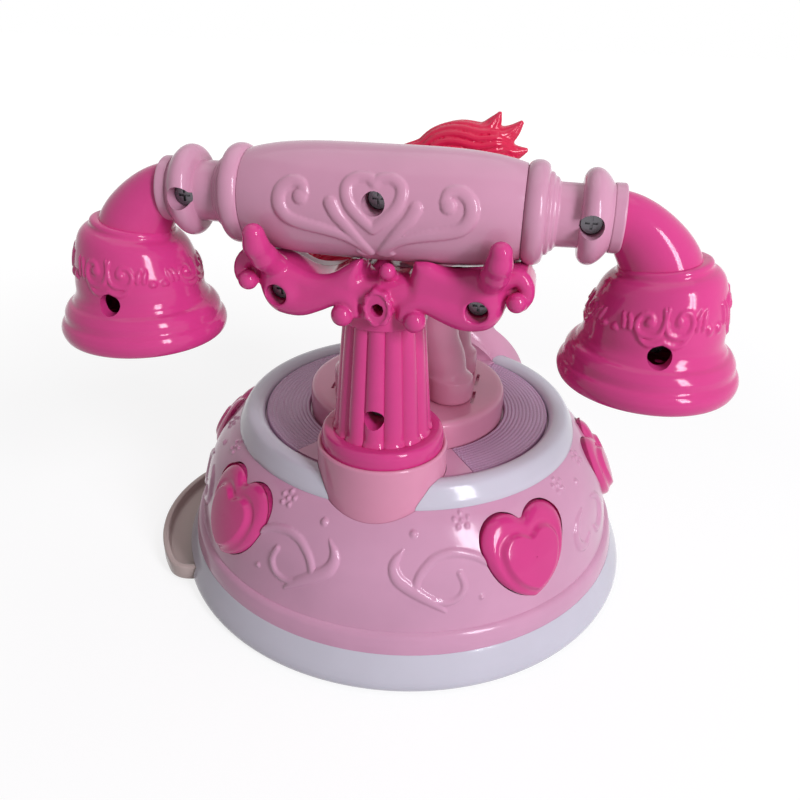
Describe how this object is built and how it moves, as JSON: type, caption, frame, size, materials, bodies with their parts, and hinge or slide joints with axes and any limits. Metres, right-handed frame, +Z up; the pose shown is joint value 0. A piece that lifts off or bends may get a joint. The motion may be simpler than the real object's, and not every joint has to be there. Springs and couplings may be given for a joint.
{
  "type": "toy rotary telephone",
  "caption": "Princess-style toy telephone: round base with heart buttons and a rotary dial, fluted column, scroll cradle and a handset with bell-shaped ends.",
  "frame": {"origin": "centre of the base on the table", "axes": "+Z up, X along the handset, +Y towards the column, the side with the screw heads; the dial faces -Y"},
  "size_m": [0.1944, 0.166, 0.1568],
  "materials": {
    "pearl_plastic": "pearly gloss moulding",
    "pale_plastic": "gloss moulding",
    "pink_plastic": "gloss moulding",
    "hot_plastic": "gloss moulding",
    "flesh_plastic": "soft gloss moulding",
    "lilac_lens": "clear tinted lens with ribs",
    "crimson_plastic": "gloss moulding",
    "cream_plastic": "satin moulding",
    "white_plastic": "gloss moulding",
    "lamp_white": "clear lamp",
    "black_plastic": "matt moulding",
    "board": "lacquered board",
    "cell_jacket": "printed sleeve, bare",
    "rubber_pad": "matt",
    "steel": "zinc plated"
  },
  "bodies": {
    "phone": {"foot_ring": "pearl_plastic", "base_plate": "pale_plastic", "battery_door": "pale_plastic", "battery_cells": "cell_jacket", "battery_contacts": "steel", "circuit_board": "board", "base_speaker": "black_plastic", "rubber_feet": "rubber_pad", "base_screws": "steel", "dome_shell": "pink_plastic", "upper_ring": "pearl_plastic", "top_deck": "pink_plastic", "lens_left": "lilac_lens", "lens_right": "lilac_lens", "led_lamps": "lamp_white", "stage_disc": "flesh_plastic", "pony_body": "flesh_plastic", "pony_mane": "crimson_plastic", "pony_tail": "crimson_plastic", "rear_cup": "flesh_plastic", "column_rear": "hot_plastic", "column_front": "hot_plastic", "column_screw": "steel", "hook_switch": "black_plastic", "cradle_rear": "hot_plastic", "cradle_front": "pale_plastic", "cradle_screws": "steel", "dial_housing": "pale_plastic", "number_plate": "white_plastic", "dial_hub": "pearl_plastic", "finger_stop": "steel"},
    "handset": {"handset_rear_shell": "pale_plastic", "handset_front_shell": "pale_plastic", "left_bell_rear": "hot_plastic", "left_bell_front": "hot_plastic", "right_bell_rear": "hot_plastic", "right_bell_front": "hot_plastic", "left_grille": "hot_plastic", "right_grille": "hot_plastic", "handset_screws": "steel"},
    "dial_wheel": {"finger_wheel": "hot_plastic"},
    "plunger": {"hook_plunger": "hot_plastic"},
    "tray": {"trinket_tray": "cream_plastic"},
    "switch_slider": {"power_switch": "black_plastic"},
    "heart_1": {"heart_button_1": "hot_plastic"},
    "heart_2": {"heart_button_2": "hot_plastic"},
    "heart_3": {"heart_button_3": "hot_plastic"},
    "heart_4": {"heart_button_4": "hot_plastic"}
  },
  "joints": [
    {"name": "handset_lift", "type": "slide", "parent": "phone", "child": "handset", "axis": [0, 0, 1], "range_m": [0, 0.06]},
    {"name": "dial_turn", "type": "hinge", "parent": "phone", "child": "dial_wheel", "pos_m": [0, -0.0609, 0.049], "axis": [0, 0.9063, -0.4226], "range_deg": [0, 325], "stiffness_Nm_per_rad": 0.004, "springref_deg": -34.38},
    {"name": "hook_press", "type": "slide", "parent": "phone", "child": "plunger", "axis": [0, 0, -1], "range_m": [0, 0.0025], "stiffness_N_per_m": 250, "springref_m": -0.0008},
    {"name": "tray_slide", "type": "slide", "parent": "phone", "child": "tray", "axis": [0.9781, 0.2079, 0], "range_m": [-0.0095, 0.022]},
    {"name": "switch_slide", "type": "slide", "parent": "phone", "child": "switch_slider", "axis": [1, 0, 0], "range_m": [0, 0.004]},
    {"name": "heart_press_1", "type": "slide", "parent": "phone", "child": "heart_1", "axis": [-0.6029, -0.6863, -0.4067], "range_m": [0, 0.002], "stiffness_N_per_m": 400, "springref_m": -0.001},
    {"name": "heart_press_2", "type": "slide", "parent": "phone", "child": "heart_2", "axis": [0.6172, -0.6735, -0.4067], "range_m": [0, 0.002], "stiffness_N_per_m": 400, "springref_m": -0.001},
    {"name": "heart_press_3", "type": "slide", "parent": "phone", "child": "heart_3", "axis": [0.9085, 0.0955, -0.4067], "range_m": [0, 0.002], "stiffness_N_per_m": 400, "springref_m": -0.001},
    {"name": "heart_press_4", "type": "slide", "parent": "phone", "child": "heart_4", "axis": [-0.9085, 0.0955, -0.4067], "range_m": [0, 0.002], "stiffness_N_per_m": 400, "springref_m": -0.001}
  ]
}
